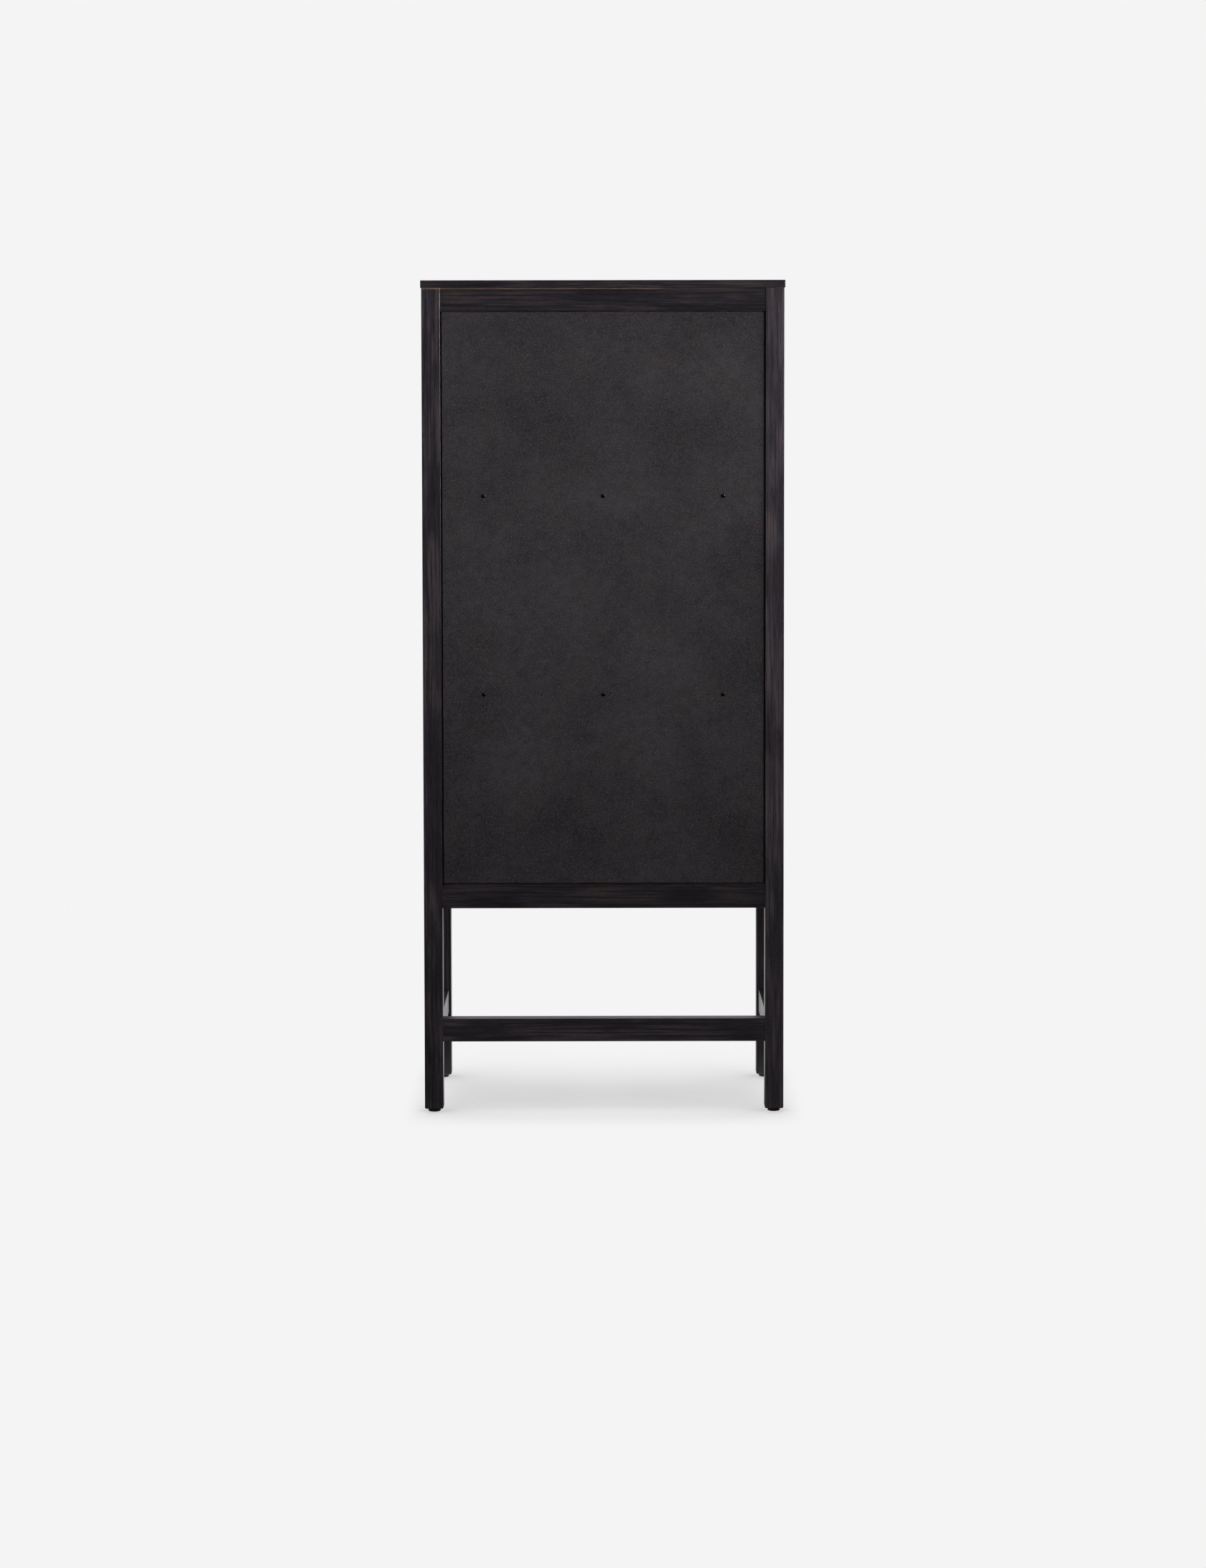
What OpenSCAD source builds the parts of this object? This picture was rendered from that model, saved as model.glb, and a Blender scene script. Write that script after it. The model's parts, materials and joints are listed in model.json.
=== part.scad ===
// Tall apothecary cabinet: a post-and-rail case on open legs, a bank of small
// drawers in its lowest bay and a pair of glazed doors over the two bays above.
// Millimetres, +Z up. The front faces -Y, and left and right are those of a
// person who stands in front of it.

/* [Case] */
// Overall height, from the floor to the upper face of the top
cabinet_h = 1905; // [1580:1:2300]
// Width over the outer faces of the posts
frame_w = 824; // [640:1:1000]
// Depth over the outer faces of the posts
frame_d = 457; // [360:1:600]
// Side of each square post
post = 42.5; // [34:0.5:52]
// Chamfer along the long edges of the posts
post_ease = 1.2; // [0.4:0.1:3]
// Chamfer round the foot of each post
foot_chamfer = 2.5; // [0.5:0.5:6]
// How far the rails, doors and drawers stand back from the faces of the posts
setback = 1.5; // [0:0.5:4]

/* [Top] */
// Thickness of the top board
top_t = 17; // [14:0.5:30]
// How far the top board reaches past the posts
top_over = 2; // [0:0.5:8]

/* [Rails and stretchers] */
// Height of each rail and stretcher
rail_h = 53; // [42:1:70]
// How far the rails stand in from the inner faces of the posts
rail_inset = 5; // [1:0.5:12]
// Underside of the bottom rails above the floor
bottom_rail_z = 472; // [380:1:560]
// Underside of the stretchers above the floor
stretcher_z = 164; // [110:1:220]
// Wood left between the two tenons that meet inside a post
tenon_apart = 2; // [1.5:0.5:6]
// Thickness of the tenons
tenon_t = 12; // [8:0.5:12]
// Shoulder over and under each tenon
tenon_shoulder = 8; // [6:0.5:14]

/* [Panels] */
// Thickness of the side panels
side_panel_t = 9; // [6:0.5:12]
// Recess of the side panels behind the faces of the posts
side_recess = 8.5; // [4:0.5:12]
// Depth of the grooves that hold the side panels
groove_depth = 6; // [4:0.5:7]
// Thickness of the back panel
back_panel_t = 9; // [6:0.5:12]
// Recess of the back panel behind the faces of the posts
back_recess = 4; // [2:0.5:8]
// Open gap between the back panel and the posts
back_gap_side = 3.5; // [1:0.5:6]
// Open gap between the back panel and the bottom rail
back_gap_bottom = 5; // [1:0.5:8]
// Open gap between the back panel and the top rail
back_gap_top = 1.5; // [0.5:0.5:4]
// Side of the square battens that the back panel lies on
batten = 12; // [8:0.5:16]

/* [Shelves] */
// Thickness of the floor board and the two fixed shelves
shelf_t = 18; // [12:0.5:24]
// Middle of the lower shelf above the floor
lower_shelf_z = 963; // [900:1:1100]
// From the middle of the lower shelf to the middle of the upper one
shelf_pitch = 453; // [380:1:520]
// Side of the square cleats under the floor board and the upper shelf
cleat = 20; // [12:1:20]

/* [Back panel screws] */
// From the inner faces of the posts to the screw at each end of a row
screw_inset = 96.5; // [40:0.5:180]
// Radius of the screw heads
screw_head_r = 5; // [3.5:0.5:7]
// Height of the screw heads
screw_head_h = 2.6; // [1.5:0.1:3]
// Radius of the screw shanks
screw_r = 2; // [1.5:0.25:2.5]
// Length of the screws under the head
screw_len = 38; // [25:1:45]

/* [Drawers] */
// Thickness of the upright partitions
partition_t = 16; // [12:0.5:20]
// Thickness of the level dividers
divider_t = 16; // [12:0.5:20]
// Gap between the side panels and the linings beside the outer columns
lining_gap = 7; // [0:0.5:14]
// Gap round each drawer front
drawer_gap = 2; // [1:0.25:3]
// Thickness of a drawer front
drawer_front_t = 20; // [16:0.5:22]
// Thickness of the sides and back of a drawer
drawer_side_t = 11; // [8:0.5:14]
// Thickness of a drawer bottom
drawer_bottom_t = 5; // [3:0.5:8]
// How far the bottom of a drawer lies above the lower edges of its sides
drawer_bottom_rise = 5; // [2:0.5:10]
// How far the sides stop below the top of the opening
drawer_headroom = 20; // [8:1:40]
// Clearance at each side of a drawer
drawer_side_gap = 1; // [0.5:0.25:2]
// Running clearance under a drawer
drawer_ride = 0.3; // [0.2:0.1:1]
// Thickness of the stop behind each drawer
stop_t = 12; // [8:1:20]
// From the stops to the back of the drawer case
stop_back = 28; // [0:1:120]

/* [Doors] */
// Gap round and between the doors
door_gap = 2.5; // [2:0.25:4]
// Gap at the hinges, which holds both hinge leaves
hinge_gap = 2.8; // [2.8:0.1:4]
// Thickness of the door frames
door_t = 22; // [17:0.5:26]
// Width of the stiles and the top rail of a door
stile_w = 45; // [36:1:60]
// Width of the bottom rail of a door
door_bottom_w = 56; // [44:1:80]
// Thickness of the glazing bar behind the glass
bar_web = 7; // [5:0.5:10]
// Width of the lip that holds the glass
lip = 8; // [5:0.5:10]
// Thickness of that lip
lip_t = 10; // [7:0.5:12]
// Thickness of the glass
glass_t = 4; // [3:0.5:5]
// Gap round each pane inside its rebate
glass_gap = 1; // [0.5:0.25:2]
// How far the beads that hold the panes stop short of the edge of the lip
bead_back = 1; // [0:0.5:2]

/* [Hinges] */
// Height of a hinge
hinge_h = 60; // [45:1:90]
// Hinges on each door
hinges = 3; // [2:1:4]
// From each end of a door to the middle of its outer hinges
hinge_inset = 100; // [60:1:150]
// Thickness of a hinge leaf
leaf_t = 1.2; // [0.8:0.1:1.2]
// How far the hinge leaves stop short of the back of the door
leaf_short = 3.5; // [0:0.5:8]
// Radius of the hinge knuckles
knuckle_r = 4; // [3.5:0.25:5]
// Radius of the hinge pins
pin_r = 2; // [1.5:0.25:2.25]
// Radial running clearance round the pins
pin_clear = 0.03; // [0.02:0.01:0.08]

/* [Knobs and label frames] */
// Radius of a door knob
knob_r = 15; // [11:0.5:18]
// How far a door knob stands out from the door
knob_out = 28; // [22:0.5:34]
// Radius of a drawer knob
drawer_knob_r = 10; // [8:0.5:13]
// How far a drawer knob stands out from the drawer
drawer_knob_out = 21; // [16:0.5:24]
// Height of the door knobs above the floor
knob_z = 1270; // [1150:1:1400]
// Width of a label frame
label_w = 72; // [50:1:90]
// Height of a label frame
label_h = 30; // [20:1:36]
// Width of the rim of a label frame
label_rim = 4; // [3:0.5:6]
// Thickness of a label frame
label_t = 2.4; // [1.5:0.1:4]
// From the middle of a drawer front up to the middle of its label frame
label_up = 24; // [20:1:30]
// From the middle of a drawer front down to its knob
knob_down = 20; // [14:1:26]

/* [Feet] */
// Height of the glides under the posts
glide_h = 8; // [4:0.5:15]
// Radius of the glides
glide_r = 14.3; // [10:0.1:16]
// Length of the stem of a glide inside its post
glide_stem = 25; // [15:1:40]

/* [Hidden] */
$fn = 48;
stain = "#221f20";                   // the frame and the top
panel_dark = "#333132";              // the back and side panels
front_dark = "#262324";              // doors and drawer fronts
bare_wood = "#8a6844";               // what only shows inside
brass = "#a98a4c";
steel = "silver";
black = "#0d0d0d";

slip = 0.1;                          // joinery clearance on each face
end_room = 1;                        // room past the end of a tenon
glue = 0.1;                          // glue line between pieces of one node
seat = 0.3;                          // clearance between what moves and what it meets
screw_clear = 0.05;                  // radial clearance round the screws

rail_t = post - setback - rail_inset;
rail_mid = setback + rail_t / 2;     // middle of a rail, from the face of the posts
rail_back = setback + rail_t;        // far face of a rail, from the face of the posts
tenon_len = post - rail_mid - tenon_t / 2 - tenon_apart;
mortise = [slip, end_room];          // room round a tenon, and past its end

inner_x = frame_w / 2 - post;        // inner faces of the posts
top_z = cabinet_h - top_t;           // underside of the top board
top_rail_z = top_z - rail_h;
floor_top = bottom_rail_z + rail_h;  // the floor board is flush with the bottom rails

// The box of the whole cabinet, knobs included, is centred on the Z axis.
front_y = (knob_out - setback - frame_d - top_over) / 2;
panel_y = frame_d - back_recess - back_panel_t;   // inner face of the back panel
case_back = panel_y - batten;        // where the drawer case stops

lower_under = lower_shelf_z - shelf_t / 2;
lower_top = lower_under + shelf_t;
upper_shelf_z = lower_shelf_z + shelf_pitch;
upper_under = upper_shelf_z - shelf_t / 2;

side_panel_out = frame_w / 2 - side_recess;
side_panel_in = side_panel_out - side_panel_t;

row_names = ["bottom", "middle", "top"];
column_names = ["left", "centre", "right"];
rows = len(row_names);
columns = len(column_names);
col_w = (2 * inner_x - (columns - 1) * partition_t) / columns;
row_h = (lower_under - floor_top - (rows - 1) * divider_t) / rows;
box_y = setback + drawer_front_t + glue;          // where the drawer sides begin
box_end = case_back - stop_back - stop_t - seat;  // where they end
box_h = row_h - drawer_ride - drawer_headroom;
lining_t = side_panel_in - lining_gap - inner_x;
stop_w = 60;
stop_h = 20;
knob_screw_bite = 10;                // how far a knob's screw reaches into the knob

door_lo = lower_top + door_gap;
door_hi = top_rail_z - door_gap;
door_out = inner_x - hinge_gap;      // hinge edge of the right door
door_in = door_gap / 2;              // meeting edge of the right door
door_back = setback + door_t;
bar_w = bar_web + 2 * lip;
bar_z = upper_shelf_z;               // the glazing bar hides the edge of the upper shelf
bead_w = lip - bead_back;
upper_front = door_back + 6;         // the upper shelf stops behind the doors

pin_x = inner_x - hinge_gap / 2;
pin_y = -knuckle_r - 0.5;            // the knuckles stand clear of the faces of the posts
plate_y = -0.3;                      // front edge of the hinge leaves
knuckles = 5;
knuckle_h = hinge_h / knuckles;
knuckle_gap = 0.2;
cap_r = 3.2;                         // the caps at the ends of a hinge pin
cap_h = 2;

catch_h = 14;
catch_w = 44;
catch_t = 12;
strike_t = 1;
strike_w = 28;
strike_h = 10;
block_side = 28;                     // section of the blocks under the top
block_len = 80;
top_screw_bite = 10;                 // how far their screws reach into the top

// ---------------------------------------------------------------- helpers

// A box from its lowest corner to its highest one.
module block(lo, hi) {
    translate(lo) cube(hi - lo);
}

// Moves what is drawn from the front faces of the posts to its place.
module placed() {
    translate([0, front_y, 0]) children();
}

// Draws on the right side, and again mirrored on the left.
module both_sides() {
    children();
    mirror([1, 0, 0]) children();
}

// Draws for the right side, or mirrored for the left one.
module on_side(side) {
    if (side == "left") mirror([1, 0, 0]) children();
    else children();
}

// Draws at the front, and again mirrored at the back.
module front_and_back() {
    children();
    translate([0, frame_d, 0]) mirror([0, 1, 0]) children();
}

// A round rod along Y, from y to y + len.
module rod_y(x, y, z, r, len) {
    translate([x, y, z]) rotate([-90, 0, 0]) cylinder(r = r, h = len);
}

// A solid turned round an axis along -Y from a profile of [radius, distance] points.
module turned(x, y, z, profile) {
    translate([x, y, z]) rotate([90, 0, 0]) rotate_extrude() polygon(profile);
}

// ---------------------------------------------------------------- frame

// The tenon at the right end of a front rail, or its mortise with room round it.
module cross_tenon(z, room = [0, 0]) {
    block([inner_x - room[0], rail_mid - tenon_t / 2 - room[0], z + tenon_shoulder - room[0]],
          [inner_x + tenon_len + room[1], rail_mid + tenon_t / 2 + room[0],
           z + rail_h - tenon_shoulder + room[0]]);
}

// The tenon at the front end of a right side rail, or its mortise.
module side_tenon(z, room = [0, 0]) {
    mid = frame_w / 2 - rail_mid;
    block([mid - tenon_t / 2 - room[0], post - tenon_len - room[1], z + tenon_shoulder - room[0]],
          [mid + tenon_t / 2 + room[0], post + room[0], z + rail_h - tenon_shoulder + room[0]]);
}

// The right side panel, or with grow the groove that holds it.
module side_panel(grow = 0) {
    block([side_panel_in - grow, post - groove_depth - grow,
           floor_top - groove_depth - grow],
          [side_panel_out + grow, frame_d - post + groove_depth + grow,
           top_rail_z + groove_depth + grow]);
}

// The front right post, with mortises for the cross rails at the heights listed.
module right_post(cross_rails) {
    color(stain) difference() {
        translate([inner_x, 0, glide_h]) linear_extrude(top_z - glide_h)
            polygon([[post_ease, 0], [post - post_ease, 0], [post, post_ease],
                     [post, post - post_ease], [post - post_ease, post], [post_ease, post],
                     [0, post - post_ease], [0, post_ease]]);
        for (z = cross_rails) cross_tenon(z, mortise);
        for (z = [stretcher_z, bottom_rail_z, top_rail_z]) side_tenon(z, mortise);
        side_panel(slip);
        translate([inner_x + post / 2, post / 2, glide_h - 1])
            cylinder(r = screw_r + screw_clear, h = glide_stem + 2);
        for (turn = [0 : 90 : 270])
            translate([inner_x + post / 2, post / 2, glide_h]) rotate([0, 0, turn])
                translate([post / 2, 0, 0]) rotate([0, 45, 0])
                    cube([foot_chamfer * sqrt(2), post * 2, foot_chamfer * sqrt(2)],
                         center = true);
    }
}

module front_post(side) {
    on_side(side) right_post([bottom_rail_z, top_rail_z]);
}

module rear_post(side) {
    on_side(side) translate([0, frame_d, 0]) mirror([0, 1, 0])
        right_post([stretcher_z, bottom_rail_z, top_rail_z]);
}

// A rail between the front posts.
module cross_rail(z) {
    color(stain) {
        block([-inner_x, setback, z], [inner_x, rail_back, z + rail_h]);
        both_sides() cross_tenon(z);
    }
}

module rear_rail(z) {
    translate([0, frame_d, 0]) mirror([0, 1, 0]) cross_rail(z);
}

// A rail between the front and rear posts, on the right side.
module side_rail(z) {
    color(stain) {
        block([frame_w / 2 - rail_back, post, z],
              [frame_w / 2 - setback, frame_d - post, z + rail_h]);
        front_and_back() side_tenon(z);
    }
}

module side_rails() {
    both_sides() difference() {
        for (z = [bottom_rail_z, top_rail_z]) side_rail(z);
        side_panel(slip);
    }
}

module side_stretchers() {
    both_sides() side_rail(stretcher_z);
}

module top_board() {
    color(stain) difference() {
        block([-frame_w / 2 - top_over, -top_over, top_z],
              [frame_w / 2 + top_over, frame_d + top_over, cabinet_h]);
        for (p = top_screw_places)
            translate([p.x, p.y, top_z - 1])
                cylinder(r = screw_r + screw_clear, h = top_screw_bite + 2);
    }
}

// ---------------------------------------------------------------- top fixings

side_block_x = frame_w / 2 - rail_back - block_side / 2;
end_block_y = rail_back + block_side / 2;
top_screw_places = [[side_block_x, frame_d / 2], [-side_block_x, frame_d / 2],
                    [0, end_block_y], [0, frame_d - end_block_y]];

module top_fixing_blocks() {
    color(bare_wood) for (p = top_screw_places) {
        along_y = p.x != 0;
        half = [along_y ? block_side / 2 : block_len / 2,
                along_y ? block_len / 2 : block_side / 2];
        difference() {
            block([p.x - half.x, p.y - half.y, top_z - block_side],
                  [p.x + half.x, p.y + half.y, top_z]);
            translate([p.x, p.y, top_z - block_side - 1])
                cylinder(r = screw_r + screw_clear, h = block_side + 2);
        }
    }
}

module top_fixing_screws() {
    color(steel) for (p = top_screw_places)
        translate([p.x, p.y, top_z - block_side]) {
            cylinder(r = screw_r, h = block_side + top_screw_bite);
            translate([0, 0, -screw_head_h])
                cylinder(r = screw_head_r, h = screw_head_h);
        }
}

// ---------------------------------------------------------------- panels

module side_panels() {
    color(panel_dark) both_sides() side_panel();
}

module back_panel() {
    color(panel_dark) difference() {
        block([-inner_x + back_gap_side, panel_y, floor_top + back_gap_bottom],
              [inner_x - back_gap_side, panel_y + back_panel_t, top_rail_z - back_gap_top]);
        for (p = back_screw_places)
            rod_y(p.x, panel_y - 1, p.y, screw_r + screw_clear, back_panel_t + 2);
    }
}

screw_x = inner_x - screw_inset;
back_screw_places = [for (z = [lower_shelf_z, upper_shelf_z], n = [-1 : 1])
    [n * screw_x, z]];

// Round-headed screws through the back panel into the edges of the shelves.
module back_panel_screws() {
    head_y = panel_y + back_panel_t;
    crown = [for (a = [0 : 15 : 90]) [screw_head_r * cos(a), screw_head_h * sin(a)]];
    color(black) for (p = back_screw_places) {
        rod_y(p.x, head_y - screw_len, p.y, screw_r, screw_len + 0.5);
        translate([p.x, head_y, p.y]) rotate([-90, 0, 0]) rotate_extrude()
            polygon(concat([[0, 0]], crown));
    }
}

// Battens inside the frame that the back panel is seated on, cut short at the shelves.
module back_panel_battens() {
    rise = [[floor_top + batten + glue, lower_under],
            [lower_top, upper_under],
            [upper_under + shelf_t, top_rail_z - batten - glue]];
    color(stain) {
        both_sides() for (z = rise)
            block([inner_x - batten, case_back, z[0]], [inner_x, panel_y, z[1]]);
        for (z = [floor_top, top_rail_z - batten])
            block([-inner_x, case_back, z], [inner_x, panel_y, z + batten]);
    }
}

// ---------------------------------------------------------------- shelves

// A board notched round the posts: x reach, front and back edges, underside.
module notched_board(reach, y0, y1, z) {
    color(stain) difference() {
        block([-reach, y0, z], [reach, y1, z + shelf_t]);
        both_sides() {
            block([inner_x - slip, -1, z - 1], [reach + 1, post + slip, z + shelf_t + 1]);
            block([inner_x - slip, frame_d - post - slip, z - 1],
                  [reach + 1, frame_d, z + shelf_t + 1]);
        }
    }
}

module floor_board() {
    notched_board(frame_w / 2 - rail_back - slip, rail_back + slip,
                  frame_d - rail_back - slip, floor_top - shelf_t);
}

// A fixed shelf, bored in its rear edge for the screws of the back panel.
module fixed_shelf(z, y0) {
    difference() {
        notched_board(side_panel_in - slip, y0, panel_y, z - shelf_t / 2);
        for (n = [-1 : 1])
            rod_y(n * screw_x, panel_y + back_panel_t - screw_len - 1, z,
                  screw_r + screw_clear, screw_len);
    }
}

// Cleats on the side rails under the floor board, and on the side panels under the upper shelf.
module shelf_cleats() {
    color(stain) both_sides() {
        block([frame_w / 2 - rail_back - cleat, post, floor_top - shelf_t - cleat],
              [frame_w / 2 - rail_back, frame_d - post, floor_top - shelf_t]);
        block([side_panel_in - cleat, post, upper_under - cleat],
              [side_panel_in, frame_d - post, upper_under]);
    }
}

// ---------------------------------------------------------------- drawer case

function col_x(c) = -inner_x + c * (col_w + partition_t);
function row_z(r) = floor_top + r * (row_h + divider_t);

// Linings that carry the line of the posts' inner faces back between the posts.
module drawer_linings() {
    color(bare_wood) both_sides()
        block([inner_x, post, floor_top], [inner_x + lining_t, frame_d - post, lower_under]);
}

module drawer_partitions() {
    color(stain) for (c = [1 : columns - 1])
        block([col_x(c) - partition_t, setback, floor_top],
              [col_x(c), case_back, lower_under]);
}

module drawer_dividers() {
    color(stain) for (c = [0 : columns - 1], r = [1 : rows - 1])
        block([col_x(c), setback, row_z(r) - divider_t],
              [col_x(c) + col_w, case_back, row_z(r)]);
}

module drawer_stops() {
    color(bare_wood) for (c = [0 : columns - 1], r = [0 : rows - 1])
        translate([col_x(c) + col_w / 2 - stop_w / 2, box_end + seat, row_z(r)])
            cube([stop_w, stop_t, stop_h]);
}

// ---------------------------------------------------------------- drawers

module drawer(c, r) {
    x0 = col_x(c);
    z0 = row_z(r);
    left = x0 + drawer_side_gap;
    right = x0 + col_w - drawer_side_gap;
    low = z0 + drawer_ride;
    under = low + drawer_bottom_rise;
    color(front_dark) difference() {
        block([x0 + drawer_gap, setback, z0 + drawer_gap],
              [x0 + col_w - drawer_gap, setback + drawer_front_t, z0 + row_h - drawer_gap]);
        rod_y(x0 + col_w / 2, setback - 1, z0 + row_h / 2 - knob_down,
              screw_r + screw_clear, drawer_front_t + 2);
    }
    color(bare_wood) {
        for (x = [left, right - drawer_side_t])
            block([x, box_y, low], [x + drawer_side_t, box_end, low + box_h]);
        block([left + drawer_side_t + glue, box_end - drawer_side_t, low],
              [right - drawer_side_t - glue, box_end, low + box_h]);
        block([left + drawer_side_t + glue, box_y, under],
              [right - drawer_side_t - glue, box_end - drawer_side_t - glue,
               under + drawer_bottom_t]);
    }
}

// A turned knob with a hollow foot, on a face at y that looks towards -Y.
module knob(x, y, z, r, out) {
    foot = r * 0.62;
    neck = r * 0.38;
    swell = [for (a = [-60 : 15 : 90]) [r * cos(a), out - r * 0.55 + r * 0.55 * sin(a)]];
    color(brass) difference() {
        turned(x, y, z, concat([[0, 0], [foot, 0], [foot, 1.5], [neck, 4]], swell));
        rod_y(x, y - knob_screw_bite - 0.5, z, screw_r + screw_clear, knob_screw_bite + 1);
    }
}

// The machine screw that holds a knob, through wood of thickness t behind the face at y.
module knob_screw(x, y, z, t) {
    color(brass) {
        rod_y(x, y - knob_screw_bite, z, screw_r, knob_screw_bite + t + 0.5);
        rod_y(x, y + t + 0.02, z, screw_head_r, screw_head_h);
    }
}

module label_frame(x, y, z) {
    color(brass) difference() {
        block([x - label_w / 2, y - label_t, z - label_h / 2],
              [x + label_w / 2, y, z + label_h / 2]);
        block([x - label_w / 2 + label_rim, y - label_t - 1, z - label_h / 2 + label_rim],
              [x + label_w / 2 - label_rim, y + 1, z + label_h / 2 - label_rim]);
    }
}

module drawer_pull(c, r) {
    x = col_x(c) + col_w / 2;
    z = row_z(r) + row_h / 2;
    knob(x, setback, z - knob_down, drawer_knob_r, drawer_knob_out);
    knob_screw(x, setback, z - knob_down, drawer_front_t);
    label_frame(x, setback, z + label_up);
}

// ---------------------------------------------------------------- doors (right one)

rebate_lo = door_lo + door_bottom_w - lip;
rebate_hi = door_hi - stile_w + lip;
rebate_in = door_in + stile_w - lip;
rebate_out = door_out - stile_w + lip;
knob_x = door_in + stile_w / 2;

module door_stiles() {
    color(front_dark) difference() {
        union() {
            block([door_in, setback, door_lo], [door_in + stile_w, setback + lip_t, door_hi]);
            block([door_in, setback, door_lo], [rebate_in, door_back, door_hi]);
        }
        rod_y(knob_x, setback - 1, knob_z, screw_r + screw_clear, door_t + 2);
    }
    color(front_dark) {
        block([door_out - stile_w, setback, door_lo], [door_out, setback + lip_t, door_hi]);
        block([rebate_out, setback, door_lo], [door_out, door_back, door_hi]);
    }
}

// A door rail from z0 to z1, whose rear part lies between r0 and r1.
module door_rail(z0, z1, r0, r1) {
    color(front_dark) {
        block([door_in + stile_w, setback, z0], [door_out - stile_w, setback + lip_t, z1]);
        block([rebate_in, setback + lip_t, r0], [rebate_out, door_back, r1]);
    }
}

module door_rails() {
    door_rail(door_lo, door_lo + door_bottom_w, door_lo, rebate_lo);
    door_rail(door_hi - stile_w, door_hi, rebate_hi, door_hi);
    door_rail(bar_z - bar_w / 2, bar_z + bar_w / 2, bar_z - bar_web / 2, bar_z + bar_web / 2);
}

// The rebates that the panes lie in, as [lowest, highest] z.
pane_rebates = [[rebate_lo, bar_z - bar_web / 2], [bar_z + bar_web / 2, rebate_hi]];

module door_panes() {
    color("#bcd0cc", 0.35) for (z = pane_rebates)
        block([rebate_in + glass_gap, setback + lip_t, z[0] + glass_gap],
              [rebate_out - glass_gap, setback + lip_t + glass_t, z[1] - glass_gap]);
}

module door_beads() {
    y0 = setback + lip_t + glass_t;
    color(front_dark) for (z = pane_rebates) {
        for (x = [rebate_in, rebate_out - bead_w])
            block([x, y0, z[0]], [x + bead_w, door_back, z[1]]);
        for (b = [z[0], z[1] - bead_w])
            block([rebate_in + bead_w + glue, y0, b],
                  [rebate_out - bead_w - glue, door_back, b + bead_w]);
    }
}

module door_knob() {
    knob(knob_x, setback, knob_z, knob_r, knob_out);
    knob_screw(knob_x, setback, knob_z, door_t);
}

// ---------------------------------------------------------------- hinges and catches

hinge_places = [for (n = [0 : hinges - 1])
    door_lo + hinge_inset + n * (door_hi - door_lo - 2 * hinge_inset) / (hinges - 1)];

// One hinge leaf: a plate from x0 to x1 and the knuckles whose numbers are listed.
module hinge_leaf(x0, x1, z, own) {
    low = z - hinge_h / 2;
    difference() {
        union() {
            block([x0, plate_y, low], [x1, door_back - leaf_short, low + hinge_h]);
            for (k = own) {
                z0 = low + k * knuckle_h + knuckle_gap / 2;
                z1 = z0 + knuckle_h - knuckle_gap;
                block([x0, pin_y, z0], [x1, plate_y + 1, z1]);
                translate([pin_x, pin_y, z0]) cylinder(r = knuckle_r, h = z1 - z0);
            }
        }
        translate([pin_x, pin_y, low - 1])
            cylinder(r = pin_r + pin_clear, h = hinge_h + 2);
    }
}

module post_hinge_leaves() {
    color(brass) both_sides() for (z = hinge_places)
        hinge_leaf(inner_x - leaf_t, inner_x, z, [0, 2, 4]);
}

module hinge_pins() {
    color(brass) both_sides() for (z = hinge_places)
        translate([pin_x, pin_y, z - hinge_h / 2]) {
            translate([0, 0, -cap_h]) cylinder(r = pin_r, h = hinge_h + 2 * cap_h);
            translate([0, 0, -cap_h]) cylinder(r = cap_r, h = cap_h);
            translate([0, 0, hinge_h]) cylinder(r = cap_r, h = cap_h);
        }
}

catch_x = door_in + stile_w / 2 - catch_w / 2 + 8;

module door_catches() {
    y0 = door_back + strike_t + seat;
    color(black) both_sides()
        block([catch_x, y0, top_rail_z - catch_h], [catch_x + catch_w, y0 + catch_t, top_rail_z]);
}

// The hinge leaves and the strike plate on a door.
module door_fittings() {
    color(brass) for (z = hinge_places)
        hinge_leaf(door_out, door_out + leaf_t, z, [1, 3]);
    strike_x = catch_x + (catch_w - strike_w) / 2;
    color(steel) block([strike_x, door_back, door_hi - 1 - strike_h],
                       [strike_x + strike_w, door_back + strike_t, door_hi - 1]);
}

// ---------------------------------------------------------------- feet

module foot_glides() {
    edge = 1.6;
    color(black) front_and_back() both_sides()
        translate([inner_x + post / 2, post / 2, 0]) rotate_extrude()
            polygon([[0, 0], [glide_r - edge, 0], [glide_r, edge], [glide_r, glide_h],
                     [screw_r, glide_h], [screw_r, glide_h + glide_stem], [0, glide_h + glide_stem]]);
}

// ---------------------------------------------------------------- the nodes

placed() top_board();
placed() front_post("left");  // front_left_post
placed() front_post("right");  // front_right_post
placed() rear_post("left");  // rear_left_post
placed() rear_post("right");  // rear_right_post
placed() cross_rail(top_rail_z);  // front_top_rail
placed() cross_rail(bottom_rail_z);  // front_bottom_rail
placed() rear_rail(top_rail_z);  // rear_top_rail
placed() rear_rail(bottom_rail_z);  // rear_bottom_rail
placed() side_rails();
placed() rear_rail(stretcher_z);  // rear_stretcher
placed() side_stretchers();
placed() side_panels();
placed() back_panel();
placed() back_panel_screws();
placed() back_panel_battens();
placed() floor_board();
placed() fixed_shelf(lower_shelf_z, setback);  // lower_shelf
placed() fixed_shelf(upper_shelf_z, upper_front);  // upper_shelf
placed() shelf_cleats();
placed() drawer_linings();
placed() drawer_partitions();
placed() drawer_dividers();
placed() drawer_stops();
placed() top_fixing_blocks();
placed() top_fixing_screws();
placed() foot_glides();
placed() post_hinge_leaves();
placed() hinge_pins();
placed() door_catches();
for (side = ["left", "right"]) {
    door = str(side, "_door_");
    placed() on_side(side) door_stiles();
    placed() on_side(side) door_rails();
    placed() on_side(side) door_panes();
    placed() on_side(side) door_beads();
    placed() on_side(side) door_knob();
    placed() on_side(side) door_fittings();
}
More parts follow.
